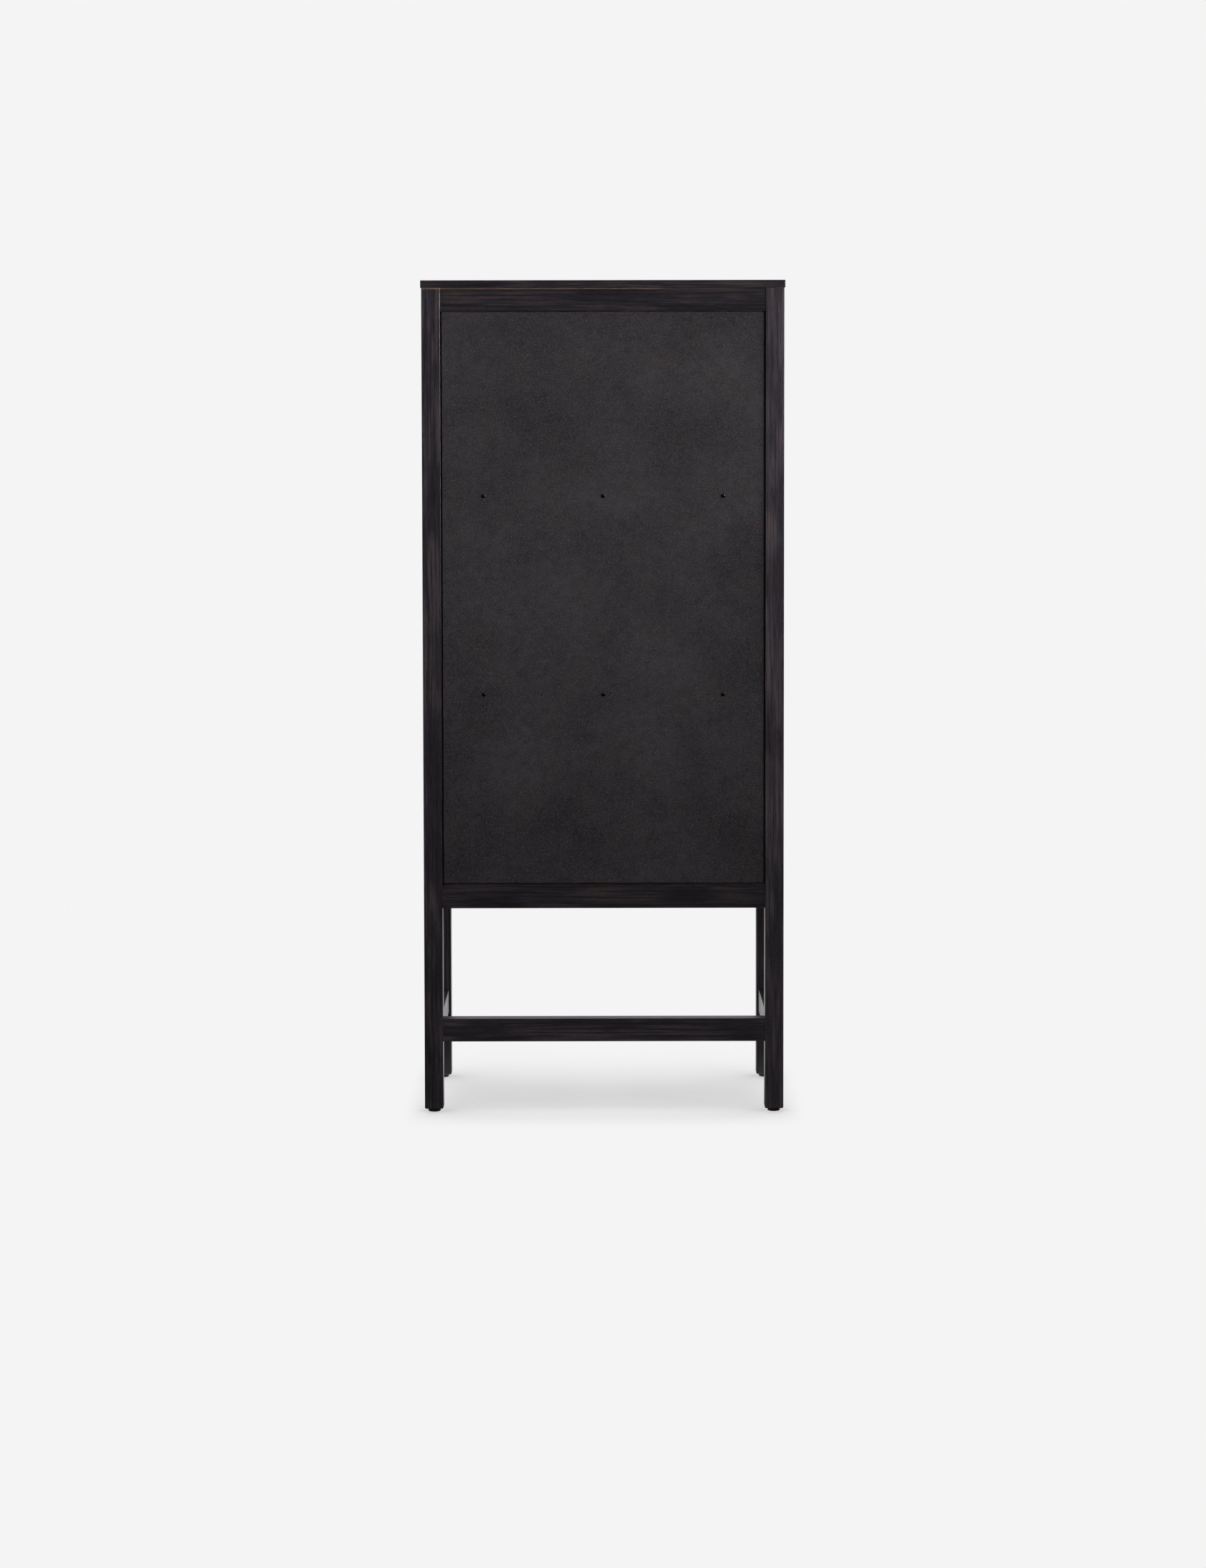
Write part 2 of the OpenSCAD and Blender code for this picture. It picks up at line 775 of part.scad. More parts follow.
for (r = [0 : rows - 1], c = [0 : columns - 1]) {
    name = str(row_names[r], "_", column_names[c], "_drawer");
    placed() drawer(c, r);
    placed() drawer_pull(c, r);
}
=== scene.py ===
"""The looks of a tall, black-stained apothecary cabinet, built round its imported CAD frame.

Metres throughout, +Z up. The drawers and the glazed doors face -Y, the screwed back faces +Y.
"""
import json
import math
import random
from functools import partial

import bmesh
import bpy
from mathutils import Matrix, Vector

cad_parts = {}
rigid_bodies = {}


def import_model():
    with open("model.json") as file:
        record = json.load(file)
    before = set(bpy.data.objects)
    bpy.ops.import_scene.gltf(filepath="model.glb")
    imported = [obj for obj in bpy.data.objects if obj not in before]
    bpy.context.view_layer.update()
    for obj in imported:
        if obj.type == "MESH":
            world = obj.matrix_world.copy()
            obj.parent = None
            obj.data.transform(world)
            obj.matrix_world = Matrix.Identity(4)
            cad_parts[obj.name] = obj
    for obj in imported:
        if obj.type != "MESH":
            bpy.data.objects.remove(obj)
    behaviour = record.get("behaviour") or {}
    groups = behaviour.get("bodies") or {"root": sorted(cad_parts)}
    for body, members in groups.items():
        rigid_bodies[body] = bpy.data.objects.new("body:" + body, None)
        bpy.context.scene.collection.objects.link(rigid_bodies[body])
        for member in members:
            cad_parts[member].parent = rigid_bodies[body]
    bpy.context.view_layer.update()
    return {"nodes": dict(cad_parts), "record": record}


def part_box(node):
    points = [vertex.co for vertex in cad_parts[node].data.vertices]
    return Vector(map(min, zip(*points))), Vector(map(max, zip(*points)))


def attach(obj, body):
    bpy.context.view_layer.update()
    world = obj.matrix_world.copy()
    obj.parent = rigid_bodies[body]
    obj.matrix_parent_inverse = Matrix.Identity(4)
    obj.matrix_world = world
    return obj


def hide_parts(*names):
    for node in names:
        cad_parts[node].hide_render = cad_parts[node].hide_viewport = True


for leftover in list(bpy.data.objects):
    bpy.data.objects.remove(leftover)
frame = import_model()

MM = 0.001
NODE_BODY = {node: body
             for body, nodes in frame["record"]["behaviour"]["bodies"].items() for node in nodes}
NODE_SLOT = {part["node"]: part["material_slot"] for part in frame["record"]["subparts"]}
DRAWERS = [f"{row}_{column}_drawer"
           for row in ("bottom", "middle", "top") for column in ("left", "centre", "right")]

post_low, post_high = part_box("rear_left_post")
REAR_Y = post_high.y                 # rear faces of the posts
TOP_Z = post_high.z                  # underside of the top board


# ---------------------------------------------------------------- camera

def make_camera():
    """Straight behind the cabinet and a little above its middle, through a long lens."""
    distance, height, aside = 7.4844, 1.5241, 0.0072
    pitch, yaw, roll = 0.0566872, -0.00085538, -0.00168049
    focal_share, lowered = 2.09609, 0.0951      # as shares of the frame's long side
    forward = Vector((math.sin(yaw) * math.cos(pitch), -math.cos(yaw) * math.cos(pitch),
                      -math.sin(pitch)))
    right = forward.cross((0, 0, 1)).normalized()
    up = right.cross(forward)
    across = right * math.cos(roll) + up * math.sin(roll)
    upright = up * math.cos(roll) - right * math.sin(roll)
    data = bpy.data.cameras.new("studio_camera")
    data.sensor_width = 36
    data.lens = focal_share * data.sensor_width
    data.shift_y = -lowered
    data.clip_end = 300
    camera = bpy.data.objects.new("studio_camera", data)
    turned = Matrix((across, upright, -forward)).transposed()
    camera.matrix_world = (Matrix.Translation((aside, REAR_Y + distance, height))
                           @ turned.to_4x4())
    bpy.context.scene.collection.objects.link(camera)
    bpy.context.scene.camera = camera


make_camera()


# ---------------------------------------------------------------- nodes

MATH, VECTOR_MATH, MIX = "ShaderNodeMath", "ShaderNodeVectorMath", "ShaderNodeMix"
NOISE, MAP_RANGE, BUMP = "ShaderNodeTexNoise", "ShaderNodeMapRange", "ShaderNodeBump"
ATTRIBUTE, COORDINATE = "ShaderNodeAttribute", "ShaderNodeTexCoord"
OBJECT_PLACE = 3                     # the Object output of a Texture Coordinate node


def add(tree, kind, *inputs, out=0, **named):
    """Adds one node and returns its output number out.

    inputs fill the node's live sockets in order, and capitalised names fill them by name. A value
    that is a socket is linked. Lower-case names are the node's own settings.
    """
    node = tree.nodes.new(kind)
    for name in [name for name in named if name[0].islower()]:
        setattr(node, name, named.pop(name))
    live = [socket for socket in node.inputs if socket.enabled]
    by_name = {socket.name.replace(" ", "_"): socket for socket in reversed(live)}
    for socket, value in [*zip(live, inputs), *((by_name[n], v) for n, v in named.items())]:
        if isinstance(value, bpy.types.NodeSocket):
            tree.links.new(value, socket)
        else:
            socket.default_value = value
    given = [socket for socket in node.outputs if socket.enabled]
    return given[out] if given else None


def linear(hex_colour):
    """The linear colour of an sRGB hex value such as "2b2829"."""
    values = [int(hex_colour[i:i + 2], 16) / 255 for i in (0, 2, 4)]
    return [v / 12.92 if v <= 0.04045 else ((v + 0.055) / 1.055) ** 2.4 for v in values] + [1]


def start_material(name):
    """An empty node material, and the function that adds nodes to it."""
    material = bpy.data.materials.new(name)
    material.use_nodes = True
    material.node_tree.nodes.clear()
    return material, partial(add, material.node_tree)


def shade(node, **surface):
    """Ends a material with one Principled shader."""
    node("ShaderNodeOutputMaterial", node("ShaderNodeBsdfPrincipled", **surface))


def board_grain(node, ring_gap):
    """The figure of a sawn board: growth rings, streaks, fibres and open pores, each 0 to 1.

    The "grain" attribute holds metres across, across and along each board, from its own pith.
    """
    place = node(ATTRIBUTE, attribute_name="grain", out=1)
    slow = node(VECTOR_MATH, place, (9, 9, 1.6), operation="MULTIPLY")
    drift = node(NOISE, slow, Scale=1, Detail=2)
    level = node(VECTOR_MATH, place, (1, 1, 0), operation="MULTIPLY")
    radius = node(VECTOR_MATH, level, operation="LENGTH")
    wander = node(MATH, drift, 0.030, radius, operation="MULTIPLY_ADD")
    turn = node(MATH, wander, 2 * math.pi / ring_gap, operation="MULTIPLY")
    rings = node(MATH, node(MATH, turn, operation="SINE"), 0.5, 0.5, operation="MULTIPLY_ADD")
    # Streaks are 3 to 5 mm wide and some 150 mm long, fibres 1 mm wide, pores 0.8 by 8 mm.
    wide = node(VECTOR_MATH, place, (260, 260, 6), operation="MULTIPLY")
    streaks = node(NOISE, wide, Scale=1, Detail=3, Roughness=0.6)
    fine = node(VECTOR_MATH, place, (950, 950, 24), operation="MULTIPLY")
    fibres = node(NOISE, fine, Scale=1, Detail=3, Roughness=0.6)
    short = node(VECTOR_MATH, place, (1200, 1200, 120), operation="MULTIPLY")
    pores = node(MAP_RANGE, node(NOISE, short, Scale=1, Detail=1), 0.60, 0.68)
    return place, rings, streaks, fibres, pores


# ---------------------------------------------------------------- materials

def stained_wood(name, worn_line=False):
    """Close-grained hardwood such as beech or birch, stained black-brown and lacquered satin.

    The stain takes unevenly, so brown shows in the paler streaks, and it has rubbed thin along
    the edges. The lacquer is dull face on and turns pale at a glancing angle.
    """
    material, node = start_material(name)
    place, rings, streaks, fibres, pores = board_grain(node, ring_gap=6 * MM)
    mid, dark, brown, rubbed = (linear(c) for c in ("343138", "151217", "463c3a", "5c504b"))
    cloudy = node(VECTOR_MATH, place, (24, 24, 6), operation="MULTIPLY")
    clouds = node(NOISE, cloudy, Scale=1, Detail=3)
    colour = node(MIX, node(MAP_RANGE, rings, 0.2, 0.9, 0.0, 0.35), mid, dark, data_type="RGBA")
    colour = node(MIX, node(MAP_RANGE, streaks, 0.46, 0.62, 0.0, 0.7), colour, dark,
                  data_type="RGBA")
    warm = node(MATH, node(MAP_RANGE, streaks, 0.50, 0.38, 0.0, 1.0),
                node(MAP_RANGE, clouds, 0.58, 0.44, 0.0, 0.8), operation="MULTIPLY")
    colour = node(MIX, warm, colour, brown, data_type="RGBA")
    colour = node(MIX, node(MAP_RANGE, clouds, 0.46, 0.62, 0.0, 0.6), colour, dark,
                  data_type="RGBA")
    colour = node(MIX, node(MAP_RANGE, fibres, 0.45, 0.72, 0.0, 0.35), colour, brown,
                  data_type="RGBA")
    colour = node(MIX, node(MATH, pores, 0.6, operation="MULTIPLY"), colour, linear("0a0808"),
                  data_type="RGBA")
    patchy = node(NOISE, node(VECTOR_MATH, place, (70, 70, 26), operation="MULTIPLY"), Scale=1)
    edge = node(ATTRIBUTE, attribute_name="edge", out=2)
    worn = node(MATH, edge, node(MAP_RANGE, patchy, 0.46, 0.64, 0.0, 0.55),
                operation="MULTIPLY")
    colour = node(MIX, worn, colour, rubbed, data_type="RGBA")
    if worn_line:
        colour = node(MIX, worn_line_mask(node), colour, linear("7b6250"), data_type="RGBA")
    # Each board's tone darkens or lightens it all over: random stain depth, and in part painted
    # shade.
    tone = node(ATTRIBUTE, attribute_name="tone", out=2)
    level = node(MATH, tone, 0.34, 1.0, operation="MULTIPLY_ADD")
    grey = node("ShaderNodeCombineColor", level, level, level)
    colour = node(MIX, 1.0, colour, grey, data_type="RGBA", blend_type="MULTIPLY")
    height = node(MATH, fibres, pores, operation="SUBTRACT")
    shade(node, Base_Color=colour, IOR=1.47, Coat_Weight=0.3, Coat_Roughness=0.25,
          Roughness=node(MAP_RANGE, fibres, 0.3, 0.7, 0.26, 0.40),
          Normal=node(BUMP, Height=height, Distance=0.16 * MM, Strength=0.8))
    return material


def worn_line_mask(node):
    """Where the stain is rubbed off the upper edge of the frame, under the back of the top."""
    place = node(COORDINATE, out=OBJECT_PLACE)
    x, y, z = (node("ShaderNodeSeparateXYZ", place, out=axis) for axis in range(3))
    masks = [node(MAP_RANGE, z, TOP_Z - 3.2 * MM, TOP_Z - 2.6 * MM),
             node(MAP_RANGE, z, TOP_Z - 0.6 * MM, TOP_Z - 1.0 * MM),
             node(MAP_RANGE, y, REAR_Y - 6 * MM, REAR_Y - 5 * MM),
             node(MAP_RANGE, x, -0.16, -0.10, 0.22, 1.0),
             node(MAP_RANGE, x, -0.33, -0.27)]
    broken = node(VECTOR_MATH, place, (55, 55, 400), operation="MULTIPLY")
    mask = node(MAP_RANGE, node(NOISE, broken, Scale=1, Detail=3), 0.28, 0.55, 0.5, 1.0)
    for part in masks:
        mask = node(MATH, mask, part, operation="MULTIPLY")
    return mask


def charcoal_board():
    """Fibreboard washed charcoal: matt and cloudy, with short pale fibres left in its face."""
    material, node = start_material("charcoal_washed_fibreboard")
    place = node(COORDINATE, out=OBJECT_PLACE)
    clouds = node(NOISE, place, Scale=4, Detail=5, Roughness=0.6)
    mottle = node(NOISE, place, Scale=42, Detail=4, Roughness=0.6)
    blush = node(NOISE, place, Scale=13, Detail=2, Distortion=0.4)
    # The fibres are 0.2 mm wide; they are drawn 2 mm wide so that they still show.
    fibres = node(NOISE, place, Scale=480, Detail=2, Roughness=0.65)
    specks = node(NOISE, node(VECTOR_MATH, place, (620, 620, 860), operation="MULTIPLY"),
                  Scale=1, Detail=1)
    colour = node(MIX, node(MAP_RANGE, clouds, 0.38, 0.62), linear("1c1b1d"), linear("302e30"),
                  data_type="RGBA")
    colour = node(MIX, node(MAP_RANGE, blush, 0.50, 0.70, 0.0, 0.4), colour, linear("312929"),
                  data_type="RGBA")
    colour = node(MIX, node(MAP_RANGE, mottle, 0.42, 0.68, 0.0, 0.5), colour, linear("181718"),
                  data_type="RGBA")
    colour = node(MIX, node(MAP_RANGE, fibres, 0.42, 0.66, 0.0, 0.7), colour, linear("373538"),
                  data_type="RGBA")
    colour = node(MIX, node(MAP_RANGE, specks, 0.60, 0.74, 0.0, 0.9), colour, linear("656061"),
                  data_type="RGBA")
    shade(node, Base_Color=colour, IOR=1.45, Specular_IOR_Level=0.25,
          Roughness=node(MAP_RANGE, mottle, 0.3, 0.7, 0.58, 0.72),
          Normal=node(BUMP, Height=fibres, Distance=0.10 * MM, Strength=0.5))
    return material


def bare_wood():
    """Planed pine left bare inside, with honey-coloured rings under a thin seal."""
    material, node = start_material("bare_planed_pine")
    _, rings, streaks, fibres, pores = board_grain(node, ring_gap=7 * MM)
    pale, ring, bright = linear("b8946a"), linear("93693f"), linear("c8a679")
    colour = node(MIX, node(MAP_RANGE, rings, 0.3, 0.95), pale, ring, data_type="RGBA")
    colour = node(MIX, node(MAP_RANGE, streaks, 0.4, 0.7, 0.0, 0.5), colour, bright,
                  data_type="RGBA")
    colour = node(MIX, node(MATH, pores, 0.3, operation="MULTIPLY"), colour, linear("6b4726"),
                  data_type="RGBA")
    shade(node, Base_Color=colour, IOR=1.5,
          Roughness=node(MAP_RANGE, fibres, 0.3, 0.7, 0.50, 0.66),
          Normal=node(BUMP, Height=fibres, Distance=0.10 * MM, Strength=0.5))
    return material


def aged_brass():
    """Cast brass, once lacquered: brown and dull in the hollows, bright where hands rub it."""
    material, node = start_material("aged_cast_brass")
    place = node(COORDINATE, out=OBJECT_PLACE)
    tarnish = node(NOISE, place, Scale=95, Detail=4, Roughness=0.6)
    spots = node(NOISE, place, Scale=450, Detail=2)
    edge = node(ATTRIBUTE, attribute_name="edge", out=2)
    colour = node(MIX, node(MAP_RANGE, tarnish, 0.34, 0.66), linear("b08d55"), linear("7a5d36"),
                  data_type="RGBA")
    colour = node(MIX, node(MAP_RANGE, spots, 0.60, 0.72, 0.0, 0.6), colour, linear("4a3720"),
                  data_type="RGBA")
    colour = node(MIX, node(MATH, edge, 0.7, operation="MULTIPLY"), colour, linear("d0ae6e"),
                  data_type="RGBA")
    shade(node, Base_Color=colour, Metallic=1.0,
          Roughness=node(MAP_RANGE, tarnish, 0.3, 0.7, 0.24, 0.44),
          Normal=node(BUMP, Height=spots, Distance=0.04 * MM, Strength=0.4))
    return material


def steel(name, dull, bright, metallic, rough_low, rough_high):
    """A plated or blackened steel, slightly uneven at the scale of the plating's spangle."""
    material, node = start_material(name)
    place = node(COORDINATE, out=OBJECT_PLACE)
    spangle = node(NOISE, place, Scale=380, Detail=3)
    shade(node, Metallic=metallic,
          Base_Color=node(MIX, spangle, linear(dull), linear(bright), data_type="RGBA"),
          Roughness=node(MAP_RANGE, spangle, 0.3, 0.7, rough_low, rough_high),
          Normal=node(BUMP, Height=spangle, Distance=0.02 * MM, Strength=0.3))
    return material


def moulded_nylon():
    """Black moulded nylon with the fine spark-eroded grain of its mould."""
    material, node = start_material("moulded_black_nylon")
    place = node(COORDINATE, out=OBJECT_PLACE)
    grain = node(NOISE, place, Scale=1400, Detail=2)
    shade(node, Base_Color=node(MIX, grain, linear("0a0a0b"), linear("171718"),
                                data_type="RGBA"), IOR=1.53,
          Roughness=node(MAP_RANGE, grain, 0.3, 0.7, 0.42, 0.56),
          Normal=node(BUMP, Height=grain, Distance=0.05 * MM, Strength=0.5))
    return material


def drawn_glass():
    """Clear drawn sheet glass, with its slow waves and the faintest green."""
    material, node = start_material("clear_drawn_glass")
    place = node(COORDINATE, out=OBJECT_PLACE)
    waves = node(NOISE, node(VECTOR_MATH, place, (9, 9, 3), operation="MULTIPLY"), Scale=1,
                 Detail=1)
    glass = node("ShaderNodeBsdfPrincipled", IOR=1.52, Roughness=0.0, Transmission_Weight=1.0,
                 Base_Color=node(MIX, waves, linear("f8fbfa"), linear("f0f6f4"),
                                 data_type="RGBA"),
                 Normal=node(BUMP, Height=waves, Distance=0.2 * MM, Strength=0.1))
    clear = node("ShaderNodeBsdfTransparent")
    to_lamp = node("ShaderNodeLightPath", out=1)     # light reaches the shelves through it
    node("ShaderNodeOutputMaterial", node("ShaderNodeMixShader", to_lamp, glass, clear))
    return material


def label_card():
    """Uncoated cream card, gone a little brown in patches."""
    material, node = start_material("uncoated_cream_card")
    place = node(COORDINATE, out=OBJECT_PLACE)
    age = node(NOISE, place, Scale=45, Detail=3)
    fibre = node(NOISE, place, Scale=1500, Detail=2)
    colour = node(MIX, node(MAP_RANGE, age, 0.35, 0.7), linear("e0d6ba"), linear("cbb992"),
                  data_type="RGBA")
    colour = node(MIX, node(MAP_RANGE, fibre, 0.5, 0.75, 0.0, 0.3), colour, linear("b5a380"),
                  data_type="RGBA")
    shade(node, Base_Color=colour, IOR=1.45,
          Roughness=node(MAP_RANGE, fibre, 0.3, 0.7, 0.78, 0.92))
    return material


NYLON = moulded_nylon()
MATERIALS = {
    "stained_wood": stained_wood("black_stained_hardwood"),
    "charcoal_panel": charcoal_board(),
    "bare_wood": bare_wood(),
    "clear_glass": drawn_glass(),
    "aged_brass": aged_brass(),
    # Blackened screws look nearly black with a small, soft highlight.
    "black_screw": steel("blackened_steel", "010101", "070707", 0.0, 0.10, 0.18),
    # Bright zinc plating is pale grey and slightly blue.
    "zinc_steel": steel("zinc_plated_steel", "a2a5aa", "c4c5c6", 1.0, 0.28, 0.42),
    "glide_plastic": NYLON,
    "catch_plastic": NYLON,
}
WORN_WOOD = stained_wood("black_stained_hardwood_worn_top_edge", worn_line=True)
CARD = label_card()


# ---------------------------------------------------------------- mesh helpers

SHARP = math.radians(50)             # edges that turn more than this are corners, not curves
STAIN_AND_SHADE_DRAW = 3120                    # this draw leaves the rails darker than the posts: random stain, partly chosen as painted shade


def solids(bm):
    """The separate solids of a mesh, as lists of vertices."""
    found, seen = [], set()
    for start in bm.verts:
        if start not in seen:
            seen.add(start)
            group = [start]
            for vert in group:
                for edge in vert.link_edges:
                    other = edge.other_vert(vert)
                    if other not in seen:
                        seen.add(other)
                        group.append(other)
            found.append(group)
    return found


def corners(verts):
    """Lowest and highest corner of some vertices."""
    points = [vert.co for vert in verts]
    return tuple(Vector([choose(point[axis] for point in points) for axis in range(3)])
                 for choose in (min, max))


def clean_copy(node, wanted=None):
    """A CAD node's mesh, merged and with its flat faces whole. wanted may pick its solids."""
    bm = bmesh.new()
    bm.from_mesh(frame["nodes"][node].data)
    bmesh.ops.remove_doubles(bm, verts=bm.verts, dist=0.004 * MM)
    for solid in solids(bm):
        if wanted and not wanted(*corners(solid)):
            bmesh.ops.delete(bm, geom=solid, context="VERTS")
    bmesh.ops.dissolve_limit(bm, angle_limit=0.01, verts=bm.verts, edges=bm.edges)
    return bm


def ease_edges(bm, ease, segments=3):
    """Rounds the long corners by hand-sanding's few tenths, and marks them as edge faces."""
    layer = bm.faces.layers.float.get("edge") or bm.faces.layers.float.new("edge")
    sharp = [edge for edge in bm.edges
             if edge.is_manifold and edge.calc_face_angle() > SHARP
             and edge.calc_length() > 4 * ease]
    made = bmesh.ops.bevel(bm, geom=sharp, offset=ease, offset_type="OFFSET", segments=segments,
                           profile=0.5, affect="EDGES", clamp_overlap=True)
    for face in made["faces"]:
        face[layer] = 1.0


def lay_grain(bm, seed, axis=None):
    """Gives each board its own grain, along an axis or its longest side, and its own stain, partly
    painted shade.
    """
    bm.verts.layers.float_vector.new("grain")
    tone = bm.verts.layers.float.new("tone")
    grain = bm.verts.layers.float_vector["grain"]
    for number, board in enumerate(solids(bm)):
        rng = random.Random(f"{STAIN_AND_SHADE_DRAW} {seed} {number}")
        low, high = corners(board)
        along = max(range(3), key=lambda a: high[a] - low[a]) if axis is None else axis
        across, through = [a for a in range(3) if a != along]
        pith = [rng.choice((-1, 1)) * rng.uniform(0.03, 0.09) for _ in range(2)]
        shift, stain_depth_and_shade = rng.uniform(0, 5), rng.uniform(-1, 1)
        for vert in board:
            place = vert.co - (low + high) / 2
            vert[grain] = (place[across] + pith[0], place[through] + pith[1],
                           place[along] + shift)
            vert[tone] = stain_depth_and_shade


def link_mesh(name, bm, material):
    """A linked object of the mesh, shaded smoothly but for its corners."""
    mesh = bpy.data.meshes.new(name)
    bm.to_mesh(mesh)
    bm.free()
    for polygon in mesh.polygons:
        polygon.use_smooth = True
    mesh.set_sharp_from_angle(angle=SHARP)
    mesh.materials.append(material)
    piece = bpy.data.objects.new(name, mesh)
    bpy.context.scene.collection.objects.link(piece)
    return piece


def finish_piece(piece, body, node=None):
    """Keeps the flat faces flat in the shading, hides the node it replaces, and ties the piece to
    its body.
    """
    flat = piece.modifiers.new("flat_faces", "WEIGHTED_NORMAL")
    flat.weight, flat.keep_sharp = 100, True
    if node:
        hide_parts(node)
    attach(piece, body)
    return piece


EASE = {"stained_wood": 0.9 * MM, "charcoal_panel": 0.5 * MM, "bare_wood": 0.6 * MM,
        "clear_glass": 0.3 * MM, "aged_brass": 0.25 * MM, "zinc_steel": 0.2 * MM,
        "catch_plastic": 0.5 * MM}

GRAIN_AXIS = {"drawer_dividers": 0, "drawer_partitions": 2, "drawer_linings": 2}    # deep boards


def finish_node(node, name, slot, material, wanted=None):
    """A CAD node, or some of its solids, with eased edges, its grain and its finish."""
    bm = clean_copy(node, wanted)
    ease_edges(bm, EASE[slot])
    lay_grain(bm, name, GRAIN_AXIS.get(node))
    return finish_piece(link_mesh(name, bm, material), NODE_BODY[node], node)


def cut_away(piece, cutter):
    """Cuts the cutter's shape out of the piece, and deletes the cutter."""
    cut = piece.modifiers.new("cut", "BOOLEAN")
    cut.operation, cut.solver, cut.object = "DIFFERENCE", "EXACT", cutter
    settle(piece)
    bpy.data.objects.remove(cutter)


def settle(piece):
    """Turns the piece with its modifiers into a plain mesh."""
    seen = piece.evaluated_get(bpy.context.evaluated_depsgraph_get())
    piece.data = bpy.data.meshes.new_from_object(seen)
    piece.modifiers.clear()
    return piece


# ---------------------------------------------------------------- turned shapes

def add_turned(bm, profile, centre=(0, 0, 0), axis=(0, 0, 1), segments=40):
    """Adds a solid turned from (radius, distance) points, which start and end on the axis."""
    centre, axis = Vector(centre), Vector(axis)
    side = axis.orthogonal().normalized()
    other = axis.cross(side)
    rings = []
    for radius, distance in profile:
        turns = [2 * math.pi * i / segments for i in range(segments if radius > 0 else 1)]
        rings.append([bm.verts.new(centre + axis * distance
                                   + (side * math.cos(t) + other * math.sin(t)) * radius)
                      for t in turns])
    made = []
    for near, far in zip(rings, rings[1:]):
        for i in range(segments):
            j = i + 1
            loop = [near[i % len(near)], near[j % len(near)], far[j % len(far)],
                    far[i % len(far)]]
            made.append(bm.faces.new(list(dict.fromkeys(loop))))
    bmesh.ops.recalc_face_normals(bm, faces=made)


def arc(centre, height, wide, tall, start, end, steps):
    """Profile points along part of an ellipse, between two angles in degrees."""
    angles = [math.radians(start + (end - start) * i / steps) for i in range(steps + 1)]
    return [(centre + wide * math.cos(a), height + tall * math.sin(a)) for a in angles]


def knob_profile(radius, reach):
    """A turned knob: spread foot with a bead, thin neck, and a domed head with a crisp rim."""
    foot, neck, swell = radius * 0.62, radius * 0.38, radius * 0.55
    head = reach - swell
    under = head - swell * 0.866
    return [(0, 0), (foot - 0.2 * MM, 0), *arc(foot - 0.5 * MM, 0.8 * MM, 0.5 * MM, 0.8 * MM,
                                                -60, 70, 5),
            (foot - 0.9 * MM, 1.7 * MM), (neck + 1.1 * MM, 2.6 * MM), (neck + 0.2 * MM, 4.0 * MM),
            (neck, (4.0 * MM + under) / 2), (neck + 0.2 * MM, under - 1.4 * MM),
            *arc(neck + 0.3 * MM, under - 0.7 * MM, 0.7 * MM, 0.5 * MM, -70, 70, 4),
            (neck + 0.4 * MM, under - 0.1 * MM),
            *arc(0, head, radius, swell, -58, 10, 9),
            (radius * 0.965, head + swell * 0.20), (radius * 0.955, head + swell * 0.22),
            *arc(0, head, radius * 0.96, swell, 16, 86, 10), (0, reach)]


# ---------------------------------------------------------------- what repeats

def placing_tree():
    """Sets one part at every point of a mesh, facing the point's way, with a turn of its own."""
    tree = bpy.data.node_groups.new("set_at_points", "GeometryNodeTree")
    for name, kind, way in (("Points", "Geometry", "INPUT"), ("Part", "Object", "INPUT"),
                            ("Radius", "Float", "INPUT"), ("Largest turn", "Float", "INPUT"),
                            ("Seed", "Int", "INPUT"), ("Finish", "Material", "INPUT"),
                            ("Parts", "Geometry", "OUTPUT")):
        tree.interface.new_socket(name, in_out=way, socket_type=f"NodeSocket{kind}")
    node = partial(add, tree)
    given = tree.nodes.new("NodeGroupInput").outputs
    part = node("GeometryNodeObjectInfo", given["Part"], out=4)
    facing = node("GeometryNodeInputNamedAttribute", "facing", data_type="FLOAT_VECTOR")
    upright = node("FunctionNodeAlignRotationToVector", Vector=facing, axis="Z")
    turn = node("FunctionNodeRandomValue", 0.0, given["Largest turn"], Seed=given["Seed"])
    spin = node("FunctionNodeAxisAngleToRotation", (0, 0, 1), turn)
    turned = node("FunctionNodeRotateRotation", upright, spin, rotation_space="LOCAL")
    parts = node("GeometryNodeInstanceOnPoints", given["Points"], Instance=part,
                 Rotation=turned, Scale=given["Radius"])
    real = node("GeometryNodeRealizeInstances", parts)
    node("NodeGroupOutput", node("GeometryNodeSetMaterial", real, Material=given["Finish"]))
    return tree


PLACING = placing_tree()
PLACING_INPUTS = {item.name: item.identifier for item in PLACING.interface.items_tree
                  if item.in_out == "INPUT"}


def repeated(name, part, places, radius, material, seed, largest_turn=math.pi):
    """One mesh of the part at each (place, facing), scaled so that its own radius is radius."""
    mesh = bpy.data.meshes.new(name)
    mesh.from_pydata([place for place, _ in places], [], [])
    facing = mesh.attributes.new("facing", "FLOAT_VECTOR", "POINT")
    for item, (_, way) in zip(facing.data, places):
        item.vector = way
    piece = bpy.data.objects.new(name, mesh)
    bpy.context.scene.collection.objects.link(piece)
    nodes = piece.modifiers.new("set_at_points", "NODES")
    nodes.node_group = PLACING
    for label, value in (("Part", part), ("Radius", radius), ("Largest turn", largest_turn),
                         ("Seed", seed), ("Finish", material)):
        nodes[PLACING_INPUTS[label]] = value
    return settle(piece)


